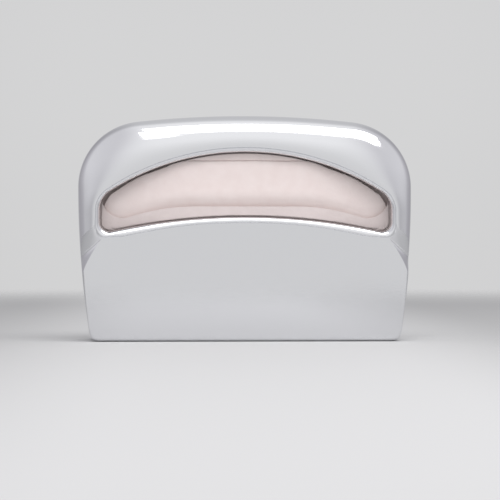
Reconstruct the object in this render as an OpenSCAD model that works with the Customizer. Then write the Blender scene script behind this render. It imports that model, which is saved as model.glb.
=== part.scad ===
// Wall dispenser for half-fold toilet seat covers: a plated moulded cover with a rolled hood and a
// crescent mouth, snapped on to a wall plate, with an opened pack and a spare pack standing inside.
// Millimetres, +Z up, the wall is the plane y = 0 and the front faces -Y.
// The origin is the centre of the four wall screws, halfway up the body.

/* [Body] */
// Width across the back rim
body_w = 406.4; // [390:0.2:430]
// Height from the underside to the crown
body_h = 273.6; // [262:0.2:300]
// Depth from the wall to the crown of the bead
body_d = 82.5; // [81:0.5:100]
// Thickness of the moulded cover
wall = 2.5; // [2:0.1:3]
// How much the cover narrows from the rim to the hood roll, for release from the mould
draft = 0.6; // [0.2:0.1:1]
// How much its sides narrow from the rim to the flat panel, below the hood
panel_draft = 2.2; // [0.6:0.1:2.6]

/* [Outline] */
// Radius of the two top corners
corner_r = 80.5; // [70:0.5:84]
// Height of the crown above the centres of the top corners
corner_drop = 87.3; // [86:0.1:92]
// Radius of the two bottom corners
foot_r = 15; // [10:0.5:18]
// How far the side has come in at the centre of the bottom corner
foot_in = 12.5; // [8:0.5:14]

/* [Hood] */
// Depth over which the hood rolls from the side to the face
hood_d = 34; // [28:1:38]
// Roundness of the hood roll, 2 is an ellipse
hood_round = 2.3; // [2:0.1:2.8]
// Radius of the panel's edges below the hood
edge_r = 7; // [5:0.5:9]
// Height above the underside at which the hood's crease leaves the bead
crease_top_h = 103; // [99:1:108]
// Height above the underside at which that crease runs out on the side
crease_foot_h = 80; // [74:1:88]
// How sharply the hood meets the flat panel along the crease, in degrees
crease_turn = 35; // [10:1:45]

/* [Mouth] */
// Band of hood above the mouth
hood_band = 45.8; // [42:0.2:48]
// Band of hood beside the mouth
side_band = 27.8; // [25:0.2:32]
// Height of the mouth at its middle
mouth_h = 78; // [70:0.1:82]
// Radius of the mouth's ends
end_r = 27; // [22:0.5:30]
// Height of the mouth's top edge above the centres of its ends
end_drop = 69.9; // [66:0.1:72]
// Radius of the mouth's lower corners
lip_r = 12; // [9:0.5:13]
// Height of the middle of the lower lip above the centres of the lower corners
lip_rise = 5.7; // [4:0.1:8]

/* [Bead] */
// Height of the bead above the face
bead_h = 1.2; // [0.8:0.1:1.6]
// Width of the bead round the hood
bead_w = 5.6; // [5.2:0.2:7]
// Width of the bead under the middle of the mouth
bead_low_w = 7.4; // [6:0.2:9]
// Width of the bead under the mouth's ends
bead_end_w = 8.5; // [7:0.5:10]
// Distance from the mouth's edge to the crown of the bead
bead_crown = 4.6; // [4:0.1:4.9]
// How far the bead rolls back into the mouth behind the face
lip_back = 4.3; // [3:0.1:4.6]
// Thickness of its turned-back edge
lip_t = 1.8; // [1.6:0.1:2.2]

/* [Ledge] */
// Height of the upturned lip along the back of the ledge
ledge_lip_h = 6; // [4:0.5:8]
// Thickness of the ledge's lip
ledge_lip_t = 2.2; // [1.8:0.1:2.6]
// Width of each rib that the packs stand on
rib_w = 3; // [2:0.5:4]
// Number of those ribs
ribs = 5; // [3:1:7]

/* [Paper] */
// Thickness of a pack
pack_t = 21; // [18:0.5:22]
// Clearance between the pack in use and the turned-back edge of the mouth
front_gap = 1.2; // [0.6:0.1:2.5]
// How far a pack reaches past the mouth on each side
pack_lap = 6; // [4:0.5:7]
// Paper thickness of a sleeve
sleeve_t = 0.5; // [0.3:0.1:0.8]
// Height of the sleeve's front edge above the lower lip
sleeve_lap = 12.6; // [10:0.2:18]
// Half of the straight middle of that edge
sleeve_flat = 60; // [40:1:80]
// How much lower the edge runs towards its ends
sleeve_fall = 14; // [10:0.5:18]
// Radius at the ends of the sleeve's front edge
sleeve_end_r = 26; // [18:0.5:30]
// Height of the sleeve's back above the mouth's top edge
sleeve_rise = 2.6; // [1:0.1:3]
// Slack beside the covers in their sleeve
side_slack = 4.3; // [2:0.1:6]
// Height of the covers' long, rounder halves above the mouth's top edge
long_rise = 3.6; // [1:0.1:5]
// Radius of the long halves' corners
long_r = 60; // [50:1:70]
// Height of their crown above the centres of those corners
long_drop = 103; // [95:0.5:108]
// Distance of the short, squarer halves' crown below the mouth's top edge
short_fall = 15; // [11:0.1:20]
// Radius of the short halves' corners
short_r = 67; // [55:1:71]
// Height of their crown above the centres of those corners
short_drop = 76.5; // [74:0.5:84]
// Thickness of the short halves at the front of the stack
short_t = 2; // [1:0.2:5]
// Slack between the stack and the front of its sleeve
stack_slack = 1.5; // [1:0.1:2.5]
// Clearance between neighbouring papers
paper_gap = 0.3; // [0.2:0.05:0.5]

/* [Wall plate] */
// Thickness of the plate's edge, ribs and pads
plate_t = 3; // [2.6:0.1:3.4]
// Thickness of the plate's web between its ribs
web_t = 2; // [1.6:0.1:2.2]
// Clearance between the plate and the cover
plate_gap = 0.4; // [0.3:0.1:0.8]
// Height of the plate's flange in front of the web
flange_h = 8; // [6:0.5:9]
// Width of the plate's edge band and of its ribs
band_w = 8; // [6:0.5:10]
// Screw spacing across
screw_dx = 292; // [260:1:310]
// Screw spacing up and down
screw_dz = 178; // [150:1:186]
// Diameter of the screw holes
screw_d = 5; // [4:0.1:6]
// Diameter of the screw heads' countersinks
head_d = 9.4; // [8:0.1:11]
// Diameter of the bosses round the screws
boss_d = 18; // [15:0.5:22]
// Height of the bosses in front of the plate
boss_h = 2; // [1.8:0.1:2.4]

/* [Snaps] */
// Height of the ridge inside the cover that the hooks hold
ridge_h = 1.2; // [0.9:0.1:1.4]
// Distance of the ridge's middle from the wall
ridge_y = 13.4; // [12.4:0.1:15]
// Width of a hook
hook_w = 20; // [14:1:26]
// Thickness of a hook
hook_t = 1.8; // [1.5:0.1:2.2]
// Overlap of a hook's barb and the ridge
hook_bite = 0.7; // [0.5:0.1:0.8]

/* [Hidden] */

CHROME = [0.80, 0.81, 0.83];
GREY_PLASTIC = [0.55, 0.56, 0.57];
SLEEVE_PAPER = [0.84, 0.80, 0.78];
TISSUE = [0.90, 0.84, 0.81];
tiny = 0.01;

half_w = body_w / 2;
half_h = body_h / 2;
face_d = body_d - bead_h;
rim_gap = plate_gap;

// Radius of an arc through its apex that touches a circle of radius r whose centre lies span across
// and drop below that apex, from inside, or from outside where r is negative
function touching_r(span, drop, r) = (span * span + drop * drop - r * r) / (2 * (drop - r));
function mix(a, b, f) = a + (b - a) * f;
function clamp01(f) = min(1, max(0, f));
function smooth(f) = let (c = clamp01(f)) c * c * (3 - 2 * c);

// Centres and radii of the body's outline, right half, as [x, z]
corner_c = [half_w - corner_r, half_h - corner_drop];
crown_r = touching_r(corner_c[0], corner_drop, corner_r);
crown_c = [0, half_h - crown_r];
crown_end = atan2(corner_c[1] - crown_c[1], corner_c[0]);
foot_c = [half_w - foot_in - foot_r, foot_r - half_h];
side_r = touching_r(corner_c[1] - foot_c[1], half_w - foot_c[0], foot_r);
side_c = [half_w - side_r, corner_c[1]];
side_end = atan2(foot_c[1] - side_c[1], foot_c[0] - side_c[0]);
function side_angle(z) = asin((z - side_c[1]) / side_r);

// Centres and radii of the mouth, right half
mouth_hw = half_w - side_band;
mouth_top = half_h - hood_band;
lip_top = mouth_top - mouth_h;
end_c = [mouth_hw - end_r, mouth_top - end_drop];
arch_r = touching_r(end_c[0], end_drop, end_r);
arch_c = [0, mouth_top - arch_r];
arch_end = atan2(end_c[1] - arch_c[1], end_c[0]);
lip_c = [mouth_hw - lip_r, lip_top - lip_rise];
under_r = touching_r(lip_c[0], lip_rise, -lip_r);
under_c = [0, lip_top - under_r];
lip_end = atan2(under_c[1] - lip_c[1], under_c[0] - lip_c[0]);
under_start = atan2(lip_c[1] - under_c[1], lip_c[0]);

// Where the rulings from the outline to the mouth start and end
crease_top = crease_top_h - half_h;
crease_foot = crease_foot_h - half_h;
arch_share = 0.52;
arch_mid = mix(90, arch_end, arch_share);
side_a = side_angle(mix(corner_c[1], crease_top, 0.45));
side_b = side_angle(mix(corner_c[1], crease_top, 0.7));
side_e = side_angle(mix(crease_top, crease_foot, 0.15));
side_d = side_angle(crease_foot - edge_r);
under_a = mix(under_start, 90, 0.06);
under_b = mix(under_start, 90, 0.12);
under_d = mix(under_start, 90, 0.2);

// Points of an arc with the direction away from its centre, the last point left out
function arc(c, r, from, to, n) = [for (i = [0:n - 1])
    let (a = mix(from, to, i / n), d = [cos(a), sin(a)]) [c + r * d, d]];
function line(a, b, out, n) = [for (i = [0:n - 1]) [mix(a, b, i / n), out]];

n_top = 8;
n_corner = 14;
n_end = 6;
n_side = 3;
n_crease = 8;
n_under = 8;
n_low = 4;
n_foot = 10;
n_base = 11;
base_end = [[0, -half_h], [0, -1]];
under_end = [[0, lip_top], [0, 1]];

// Right half of the outline, from the crown to the middle of the underside
outline_half = concat(
    arc(crown_c, crown_r, 90, crown_end, n_top),
    arc(corner_c, corner_r, crown_end, 0, n_corner),
    arc(side_c, side_r, 0, side_a, n_end),
    arc(side_c, side_r, side_a, side_b, n_side),
    arc(side_c, side_r, side_b, side_e, n_crease),
    arc(side_c, side_r, side_e, side_d, n_under),
    arc(side_c, side_r, side_d, side_end, n_low),
    arc(foot_c, foot_r, side_end, -90, n_foot),
    line([foot_c[0], -half_h], base_end[0], base_end[1], n_base),
    [base_end]);

// Right half of the mouth, with a point for each point of the outline
mouth_half = concat(
    arc(arch_c, arch_r, 90, arch_mid, n_top),
    arc(arch_c, arch_r, arch_mid, arch_end, n_corner),
    arc(end_c, end_r, arch_end, 0, n_end),
    line([mouth_hw, end_c[1]], [mouth_hw, lip_c[1]], [1, 0], n_side),
    arc(lip_c, lip_r, 0, lip_end, n_crease),
    arc(under_c, under_r, under_start, under_a, n_under),
    arc(under_c, under_r, under_a, under_b, n_low),
    arc(under_c, under_r, under_b, under_d, n_foot),
    arc(under_c, under_r, under_d, 90, n_base),
    [under_end]);

// How far down the crease a ring is: 0 on the hood, 1 beside the flat panel
function crease_run(p) = clamp01((crease_top - p[1]) / (crease_top - crease_foot));

// The bead's width at a ring, which grows round the mouth's lower corners and shrinks along the lip
n_grow = n_top + n_corner + n_end;
n_grown = n_grow + n_side + n_crease;
function bead_width(i) = i < n_grown
    ? mix(bead_w, bead_end_w, smooth((i - n_grow) / (n_grown - n_grow)))
    : mix(bead_low_w, bead_end_w, smooth(mouth_half[i][0][0] / mouth_hw * 1.6 - 0.5));

// The ledge's share of a ring: the rim steps forward to the ledge round the slot's ends, and past
// those ends the ledge's back edge turns up
pack_hw = mouth_hw + pack_lap;
slot_hw = pack_hw + 3.2;
slot_blend = 5.5;
lip_blend = 4;
function ledge_share(p) = p[1] > foot_c[1] ? 0 : smooth((slot_hw + slot_blend - p[0]) / slot_blend);
function lip_share(p) = p[1] > foot_c[1] ? 0 : smooth((foot_c[0] + lip_blend - p[0]) / lip_blend);

function flip(v) = [-v[0], v[1]];
half_n = len(outline_half) - 1;
// A ring is [outline point, inward direction, mouth point, crease run, ledge share, bead width, lip share]
rings_right = [for (i = [0:half_n]) let (p = outline_half[i]) [
    p[0], -p[1], mouth_half[i][0], crease_run(p[0]), ledge_share(p[0]), bead_width(i), lip_share(p[0])]];
rings_left = [for (i = [half_n - 1:-1:1]) let (r = rings_right[i]) [
    flip(r[0]), flip(r[1]), flip(r[2]), r[3], r[4], r[5], r[6]]];
rings = concat(rings_right, rings_left);

// Depths along the packs, all measured forwards from the wall
front_in = face_d - wall;
pack_front = face_d - lip_back - front_gap;
spare_front = pack_front - pack_t - paper_gap;
ledge_front = spare_front - pack_t - paper_gap;
ledge_back = ledge_front - ledge_lip_t;
ridge_half = 0.6;
ridge_slope = 0.8;

n_roll = 8;
n_roll_in = 6;
n_step = 2;
n_bead = 4;
n_lip = 3;
bead_foot = 0.5;
crease_curve = 1.4;

function at(p, y) = [p[0], -y, p[1]];
// The inner face of the side wall from its rim forwards, as [distance inwards from the outline, depth]
function side_rim(rim) = [
    [wall, rim],
    [wall, ridge_y - ridge_half - ridge_slope],
    [wall + ridge_h, ridge_y - ridge_half],
    [wall + ridge_h, ridge_y + ridge_half],
    [wall, ridge_y + ridge_half + ridge_slope]];
// The same for the ledge, whose back edge turns up by a height
function ledge_rim(h) = [
    [wall, ledge_back],
    [wall + 0.8 * h, ledge_back],
    [wall + h, ledge_back + 0.8],
    [wall + h, ledge_front - 0.4],
    [wall, ledge_front]];

// Part of a rounded roll's quarter turn, as shares of its width and of its depth
function roll_part(a, turn, power) = [
    (1 - pow(cos(a), power)) / (1 - pow(cos(turn), power)),
    pow(sin(a), power) / pow(sin(turn), power)];

// One closed section through the cover's wall: rim, side, roll, face, bead, and back inside
function section(ring) = let (
    p = ring[0],
    inwards = ring[1],
    run = ring[3],
    ledge = ring[4],
    span = norm(ring[2] - p),
    dir = (ring[2] - p) / span,
    bead = ring[5],
    roll_w = mix(edge_r, span - bead - bead_foot, pow(1 - run, crease_curve)),
    roll_d = mix(hood_d, edge_r, smooth(run)),
    power = 2 / mix(hood_round, 2, smooth(run)),
    turn = 90 - crease_turn * sin(180 * run),
    slope = mix(draft, panel_draft, smooth(run)) * (1 - ledge),
    rim = mix(rim_gap, ledge_back, ledge),
    start = p + inwards * slope,
    start_in = p + inwards * (slope + wall),
    end = p + dir * roll_w,
    roll_y = face_d - roll_d,
    inside = mix(side_rim(rim_gap), ledge_rim(ledge_lip_h * ring[6]), ledge))
    concat(
        [at(p, rim)],
        [for (j = [0:n_roll]) let (f = roll_part(turn * j / n_roll, turn, power))
            at(mix(start, end, f[0]), roll_y + roll_d * f[1])],
        [for (j = [0:n_step]) let (f = j / n_step)
            at(p + dir * (span - bead + (bead - bead_crown) * f), face_d + bead_h * sin(90 * f))],
        [for (j = [1:n_bead]) let (a = 90 * j / n_bead)
            at(p + dir * (span - bead_crown * (1 - sin(a))),
                face_d + bead_h - (bead_h + lip_back) * (1 - cos(a)))],
        [for (j = [0:n_lip]) let (a = 90 * j / n_lip)
            at(p + dir * (span - bead_crown + (bead_crown - lip_t) * cos(a)),
                face_d - lip_back + (bead_h + lip_back - wall) * sin(a))],
        [at(p + dir * (span - bead), front_in)],
        [for (j = [n_roll_in:-1:0]) let (f = roll_part(turn * j / n_roll_in, turn, power))
            at(mix(start_in, end, f[0]), roll_y + (roll_d - wall) * f[1])],
        [for (j = [4:-1:0]) at(p + inwards * inside[j][0], inside[j][1])]);

// Joins closed sections into a closed tube that runs once round
module round_loft(sections) {
    n = len(sections);
    m = len(sections[0]);
    function id(i, j) = (i % n) * m + j % m;
    polyhedron(
        points = [for (s = sections) each s],
        faces = [for (i = [0:n - 1], j = [0:m - 1]) each [
            [id(i, j), id(i + 1, j), id(i + 1, j + 1)],
            [id(i, j), id(i + 1, j + 1), id(i, j + 1)]]],
        convexity = 6);
}

// Turns an outline drawn in X and Z into a solid between two depths
module slab(from, to) {
    translate([0, -from, 0])
        rotate([90, 0, 0])
            linear_extrude(to - from)
                children();
}

// The ribs lift the packs clear of the rounded edge at the foot of the panel
floor_z = wall - half_h;
rib_h = edge_r - wall;
stand_z = floor_z + rib_h;
rib_pitch = 2 * foot_c[0] / ribs;

// Ribs across the ledge, sunk into the floor below them and the lip behind them
module ledge_ribs() {
    front = face_d - edge_r;
    back = ledge_front - ledge_lip_t / 2;
    for (i = [0:ribs - 1])
        translate([(i - (ribs - 1) / 2) * rib_pitch - rib_w / 2, -front, floor_z - wall / 2])
            cube([rib_w, front - back, rib_h + wall / 2]);
}

module front_cover() {
    color(CHROME) {
        round_loft([for (r = rings) section(r)]);
        ledge_ribs();
    }
}

// The body's outline brought in by a distance all round
function inset(by) = [for (r = rings) r[0] + r[1] * by];
plate_in = wall + plate_gap;
hook_in = wall + ridge_h + plate_gap;
plate_foot_w = 2 * foot_c[0] - 2 * plate_gap;

module plate_outline(by = 0) {
    polygon(inset(plate_in + by));
    translate([by - plate_foot_w / 2, -half_h + by])
        square([plate_foot_w - 2 * by, foot_r + half_h / 4]);
}

// Places a child at an angle on an arc of the outline, its +Y outwards along the outline's normal
module on_arc(c, r, angle) {
    translate([c[0] + r * cos(angle), 0, c[1] + r * sin(angle)])
        rotate([0, 90 - angle, 0])
            children();
}

hook_y = ridge_y + ridge_half + ridge_slope + 0.4;
barb_h = hook_in - wall - ridge_h + hook_bite;
barb_l = 3;
hook_slit = 2;

// A hook seen from its end: a tongue with a barb that springs over the cover's ridge
module hook() {
    translate([-hook_w / 2, 0, -hook_in - hook_t])
        rotate([90, 0, 90])
            linear_extrude(hook_w)
                polygon([[-web_t / 2, 0], [-hook_y - barb_l, 0], [-hook_y - barb_l, hook_t],
                    [-hook_y, hook_t + barb_h], [-hook_y, hook_t], [-web_t / 2, hook_t]]);
}

// The room that a hook takes out of the plate's edge and flange
module hook_room() {
    translate([-hook_w / 2 - hook_slit, -flange_h - plate_t, -hook_in + tiny])
        cube([hook_w + 2 * hook_slit, flange_h + 2 * plate_t, hook_in]);
    translate([-hook_w / 2 - hook_slit, -flange_h - plate_t, -hook_in - hook_t - 1])
        cube([hook_w + 2 * hook_slit, flange_h, hook_in]);
}

module at_hooks() {
    crown_step = atan2(screw_dx / 3, crown_r);
    for (a = [-crown_step, crown_step])
        on_arc(crown_c, crown_r, 90 + a) children();
    for (z = [screw_dz / 6, -screw_dz / 2])
        for (side = [0, 1])
            mirror([side, 0, 0])
                on_arc(side_c, side_r, side_angle(z)) children();
}

module at_screws() {
    for (x = [-screw_dx / 2, screw_dx / 2])
        for (z = [-screw_dz / 2, screw_dz / 2])
            translate([x, 0, z])
                rotate([90, 0, 0])
                    children();
}

module back_plate() {
    color(GREY_PLASTIC)
        difference() {
            union() {
                slab(plate_t - web_t, plate_t) plate_outline();
                slab(0, plate_t) difference() {
                    plate_outline();
                    plate_outline(band_w);
                }
                slab(0, plate_t) intersection() {
                    plate_outline();
                    plate_ribs();
                }
                slab(plate_t, flange_h + plate_t) intersection() {
                    difference() {
                        polygon(inset(plate_in));
                        polygon(inset(plate_in + hook_t));
                    }
                    translate([-half_w, foot_c[1] + foot_r])
                        square([body_w, body_h]);
                }
                at_screws() cylinder(d = boss_d, h = plate_t + boss_h, $fn = 64);
            }
            at_hooks() hook_room();
            at_screws() translate([0, 0, -1]) cylinder(d = screw_d, h = plate_t + boss_h + 2, $fn = 48);
            at_screws() translate([0, 0, plate_t + boss_h - (head_d - screw_d) / 2])
                cylinder(d1 = screw_d, d2 = head_d + 2 * tiny, h = (head_d - screw_d) / 2 + tiny, $fn = 48);
        }
    color(GREY_PLASTIC) at_hooks() hook();
}

// The lattice that stiffens the plate's wall side
module plate_ribs() {
    for (x = [-screw_dx / 2, 0, screw_dx / 2])
        translate([x - band_w / 2, -half_h])
            square([band_w, body_h]);
    for (z = [-screw_dz / 2, 0, screw_dz / 2])
        translate([-half_w, z - band_w / 2])
            square([body_w, band_w]);
}

sleeve_top = mouth_top + sleeve_rise;
sleeve_corner_r = 12;
sleeve_foot_r = 4;
sleeve_back = pack_front - pack_t;
sleeve_front_in = pack_front - sleeve_t;
sleeve_back_in = sleeve_back + sleeve_t;

// A standing rectangle in X and Z, with top corners of a given radius and slightly rounded feet
module standing_sheet(hw, bottom, top, r) {
    foot = sleeve_foot_r;
    translate([-hw, bottom + foot])
        square([2 * hw, top - r - bottom - foot]);
    translate([r - hw, bottom + foot])
        square([2 * (hw - r), top - bottom - foot]);
    translate([foot - hw, bottom])
        square([2 * (hw - foot), 2 * foot]);
    for (side = [-1, 1]) {
        translate([side * (hw - r), top - r])
            circle(r = r, $fn = 96);
        translate([side * (hw - foot), bottom + foot])
            circle(r = foot, $fn = 48);
    }
}

// The part of the sleeve's front that is cut away, right half: its straight edge bends down and up again
window_hw = mouth_hw - 1.4;
window_z = lip_top + sleeve_lap;
window_c = [window_hw - sleeve_end_r, window_z - sleeve_fall + sleeve_end_r];
shoulder_r = touching_r(window_c[0] - sleeve_flat, window_z - window_c[1], -sleeve_end_r);
shoulder_c = [sleeve_flat, window_z - shoulder_r];
window_end = atan2(window_c[1] - shoulder_c[1], window_c[0] - shoulder_c[0]);
function strip(points) = [for (p = points) p[0]];
window_half = concat(
    [[0, window_z]],
    strip(arc(shoulder_c, shoulder_r, 90, window_end, 12)),
    strip(arc(window_c, sleeve_end_r, window_end - 180, 0, 14)),
    [[window_hw, window_c[1]], [window_hw, sleeve_top + 1]]);
module sleeve_window() {
    polygon(concat(window_half, [for (i = [len(window_half) - 1:-1:1]) flip(window_half[i])]));
}

// The sleeve's sides are cut back from the window's ends up to the top of its back
module sleeve_slope() {
    rotate([90, 0, 90])
        translate([0, 0, -half_w])
            linear_extrude(body_w)
                polygon([[-pack_front - 1, window_c[1] + sleeve_end_r / 4], [-sleeve_back - 1, sleeve_top],
                    [-sleeve_back - 1, sleeve_top + 20], [-pack_front - 1, sleeve_top + 20]]);
}

module open_sleeve() {
    color(SLEEVE_PAPER)
        difference() {
            slab(sleeve_back, pack_front) standing_sheet(pack_hw, stand_z, sleeve_top, sleeve_corner_r);
            slab(sleeve_back_in, sleeve_front_in)
                standing_sheet(pack_hw - sleeve_t, stand_z + sleeve_t, half_h, sleeve_corner_r);
            slab(sleeve_back + pack_t / 2, pack_front + 1) sleeve_window();
            sleeve_slope();
        }
}

cover_hw = pack_hw - sleeve_t - side_slack;
stack_front = sleeve_front_in - stack_slack;
stack_back = sleeve_back_in + paper_gap;
long_top = mouth_top + long_rise;
short_top = mouth_top - short_fall;

// Half of a seat cover, which stands on its fold: an arched top, rounded corners and soft feet
module cover_half(top, drop, r) {
    foot = sleeve_foot_r;
    bottom = stand_z + sleeve_t;
    side = [cover_hw - r, top - drop];
    arch = touching_r(side[0], drop, r);
    middle = [0, top - arch];
    end = atan2(side[1] - middle[1], side[0]);
    right = concat(
        strip(arc(middle, arch, 90, end, 14)),
        strip(arc(side, r, end, 0, 18)),
        strip(arc([cover_hw - foot, bottom + foot], foot, 0, -90, 6)),
        [[cover_hw - foot, bottom]]);
    polygon(concat(right, [for (i = [len(right) - 1:-1:1]) flip(right[i])]));
}

// The stack: the short halves of the first covers in front, the long halves of all behind them
module folded_covers() {
    color(TISSUE) {
        slab(stack_back, stack_front - short_t) cover_half(long_top, long_drop, long_r);
        slab(stack_front - short_t - tiny, stack_front) cover_half(short_top, short_drop, short_r);
    }
}

spare_edge = 4;
spare_top = sleeve_top;

// A sealed pack: its long edges are soft, so its end view is a rounded rectangle
module spare_pack() {
    color(SLEEVE_PAPER)
        intersection() {
            slab(ledge_front - 1 + paper_gap, spare_front + 1)
                standing_sheet(pack_hw, stand_z, spare_top, sleeve_corner_r);
            rotate([90, 0, 90])
                translate([-spare_front, stand_z, -pack_hw - 1])
                    linear_extrude(2 * pack_hw + 2)
                        soft_rectangle(pack_t, spare_top - stand_z, spare_edge);
        }
}

module soft_rectangle(w, h, r) {
    translate([r, 0])
        square([w - 2 * r, h]);
    translate([0, r])
        square([w, h - 2 * r]);
    for (x = [r, w - r])
        for (z = [r, h - r])
            translate([x, z])
                circle(r = r, $fn = 48);
}

front_cover();
back_plate();
open_sleeve();
folded_covers();
spare_pack();
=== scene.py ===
"""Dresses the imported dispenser: a mirror-bright plated cover, the opened pack that shows in its mouth,
the spare pack behind that, and the moulded wall plate, in a plain pale studio.

Shapes are worked out in millimetres, as in the part's source, and become metres in build_mesh().
"""
import math

import bmesh
import bpy
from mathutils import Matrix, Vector, noise


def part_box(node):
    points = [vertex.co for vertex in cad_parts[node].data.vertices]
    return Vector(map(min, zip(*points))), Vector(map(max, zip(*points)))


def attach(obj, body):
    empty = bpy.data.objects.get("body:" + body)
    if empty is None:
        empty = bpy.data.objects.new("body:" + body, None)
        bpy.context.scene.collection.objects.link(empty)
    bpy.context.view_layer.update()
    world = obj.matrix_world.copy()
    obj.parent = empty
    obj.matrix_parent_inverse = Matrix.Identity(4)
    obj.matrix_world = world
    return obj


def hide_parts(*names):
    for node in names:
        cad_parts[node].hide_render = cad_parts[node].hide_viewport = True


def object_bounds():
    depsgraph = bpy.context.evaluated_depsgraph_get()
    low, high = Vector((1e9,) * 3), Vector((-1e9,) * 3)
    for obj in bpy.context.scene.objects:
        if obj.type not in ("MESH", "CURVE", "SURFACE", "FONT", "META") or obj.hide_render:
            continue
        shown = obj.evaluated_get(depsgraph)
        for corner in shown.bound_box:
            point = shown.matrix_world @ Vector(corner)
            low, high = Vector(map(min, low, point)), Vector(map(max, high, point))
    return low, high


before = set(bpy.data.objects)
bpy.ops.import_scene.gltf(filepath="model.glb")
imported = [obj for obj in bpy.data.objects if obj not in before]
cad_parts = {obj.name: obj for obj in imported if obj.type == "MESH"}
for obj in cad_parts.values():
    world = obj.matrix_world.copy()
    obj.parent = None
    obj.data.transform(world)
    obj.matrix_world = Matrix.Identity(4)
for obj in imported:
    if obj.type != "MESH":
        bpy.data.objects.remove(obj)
cad_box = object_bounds()

MM = 0.001


def box_mm(node):
    """A node's lowest and highest corner in millimetres."""
    low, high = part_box(node)
    return [c / MM for c in low], [c / MM for c in high]


# Sizes of the body, from the frame
cover_low, cover_high = box_mm("front_cover")
HALF_W = cover_high[0]
HALF_H = cover_high[2]
BODY_D = -cover_low[1]
RIM_GAP = -cover_high[1]

# The cover's own driving sizes, as in the part's source
WALL = 2.5
DRAFT = 0.6
PANEL_DRAFT = 2.2
CORNER_R = 80.5
CORNER_DROP = 87.3
FOOT_R = 15
FOOT_IN = 12.5
HOOD_D = 34
HOOD_ROUND = 2.3
EDGE_R = 7
CREASE_TOP = 103 - HALF_H
CREASE_FOOT = 80 - HALF_H
CREASE_TURN = 35
CREASE_CURVE = 1.4
HOOD_BAND = 45.8
SIDE_BAND = 27.8
MOUTH_H = 78
END_R = 27
END_DROP = 69.9
LIP_R = 12
LIP_RISE = 5.7
BEAD_H = 1.2
BEAD_W = 5.6
BEAD_LOW_W = 7.4
BEAD_END_W = 11
BEAD_GROWTH = 1.6
BEAD_START = 0.5
BEAD_CROWN = 4.6
BEAD_FOOT = 0.5
LIP_BACK = 4.3
LIP_T = 1.8
PACK_GAP = 0.3
LEDGE_LIP_H = 6
LEDGE_LIP_T = 2.2
LEDGE_LIP_SLOPE = 0.8
LEDGE_LIP_FLAT = 0.8
LEDGE_LIP_BEVEL = 0.4
RIB_W = 3
RIBS = 5
RIDGE_Y = 13.4
RIDGE_H = 1.2
RIDGE_HALF = 0.6
RIDGE_SLOPE = 0.8
SLOT_MARGIN = 3.2
SLOT_BLEND = 5.5
LIP_BLEND = 4
SLEEVE_LAP = 12.6
SLEEVE_FLAT = 60
SLEEVE_FALL = 14
SLEEVE_END_R = 26
LONG_R = 60
LONG_DROP = 103
SHORT_FALL = 15
SHORT_R = 67
SHORT_DROP = 76.5


def mix(a, b, f):
    return a + (b - a) * f


def clamp01(f):
    return min(1.0, max(0.0, f))


def smooth(f):
    c = clamp01(f)
    return c * c * (3 - 2 * c)


def sind(a):
    return math.sin(math.radians(a))


def cosd(a):
    return math.cos(math.radians(a))


def atan2d(y, x):
    return math.degrees(math.atan2(y, x))


def quarter(r, near):
    """How far a quarter circle of radius r has fallen at a distance past its start."""
    return r - math.sqrt(max(0, r * r - near * near))


def touching_r(span, drop, r):
    """Radius of an arc through its apex that touches a circle lying span across and drop below it."""
    return (span * span + drop * drop - r * r) / (2 * (drop - r))


# Centres and radii of the body's outline, right half, as (x, z)
FACE_D = BODY_D - BEAD_H
FRONT_IN = FACE_D - WALL
corner_c = (HALF_W - CORNER_R, HALF_H - CORNER_DROP)
crown_r = touching_r(corner_c[0], CORNER_DROP, CORNER_R)
crown_c = (0, HALF_H - crown_r)
crown_end = atan2d(corner_c[1] - crown_c[1], corner_c[0])
foot_c = (HALF_W - FOOT_IN - FOOT_R, FOOT_R - HALF_H)
side_r = touching_r(corner_c[1] - foot_c[1], HALF_W - foot_c[0], FOOT_R)
side_c = (HALF_W - side_r, corner_c[1])
side_end = atan2d(foot_c[1] - side_c[1], foot_c[0] - side_c[0])

# Centres and radii of the mouth, right half
mouth_hw = HALF_W - SIDE_BAND
mouth_top = HALF_H - HOOD_BAND
lip_top = mouth_top - MOUTH_H
end_c = (mouth_hw - END_R, mouth_top - END_DROP)
arch_r = touching_r(end_c[0], END_DROP, END_R)
arch_c = (0, mouth_top - arch_r)
arch_end = atan2d(end_c[1] - arch_c[1], end_c[0])
lip_c = (mouth_hw - LIP_R, lip_top - LIP_RISE)
under_r = touching_r(lip_c[0], LIP_RISE, -LIP_R)
under_c = (0, lip_top - under_r)
lip_end = atan2d(under_c[1] - lip_c[1], under_c[0] - lip_c[0])
under_start = atan2d(lip_c[1] - under_c[1], lip_c[0])


def side_angle(z):
    return math.degrees(math.asin((z - side_c[1]) / side_r))


# Where the rulings from the outline to the mouth start and end, as shares of the stretches they divide
ARCH_SHARE = 0.52
END_SHARE = 0.45
SIDE_SHARE = 0.7
LIP_SHARE = 0.15
UNDER_SHARES = (0.06, 0.12, 0.2)
arch_mid = mix(90, arch_end, ARCH_SHARE)
side_a = side_angle(mix(corner_c[1], CREASE_TOP, END_SHARE))
side_b = side_angle(mix(corner_c[1], CREASE_TOP, SIDE_SHARE))
side_e = side_angle(mix(CREASE_TOP, CREASE_FOOT, LIP_SHARE))
side_d = side_angle(CREASE_FOOT - EDGE_R)
under_a, under_b, under_d = [mix(under_start, 90, share) for share in UNDER_SHARES]

# Rings on each stretch of the outline, finer than in the part's source
RINGS = dict(top=40, corner=70, end=26, side=14, lip=32, crease=60, low=20, foot=36, base=30)


def arc(centre, r, start, end, n):
    """Points of an arc with the direction away from its centre, the last point left out."""
    out = []
    for i in range(n):
        a = mix(start, end, i / n)
        out.append(((centre[0] + r * cosd(a), centre[1] + r * sind(a)), (cosd(a), sind(a))))
    return out


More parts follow.
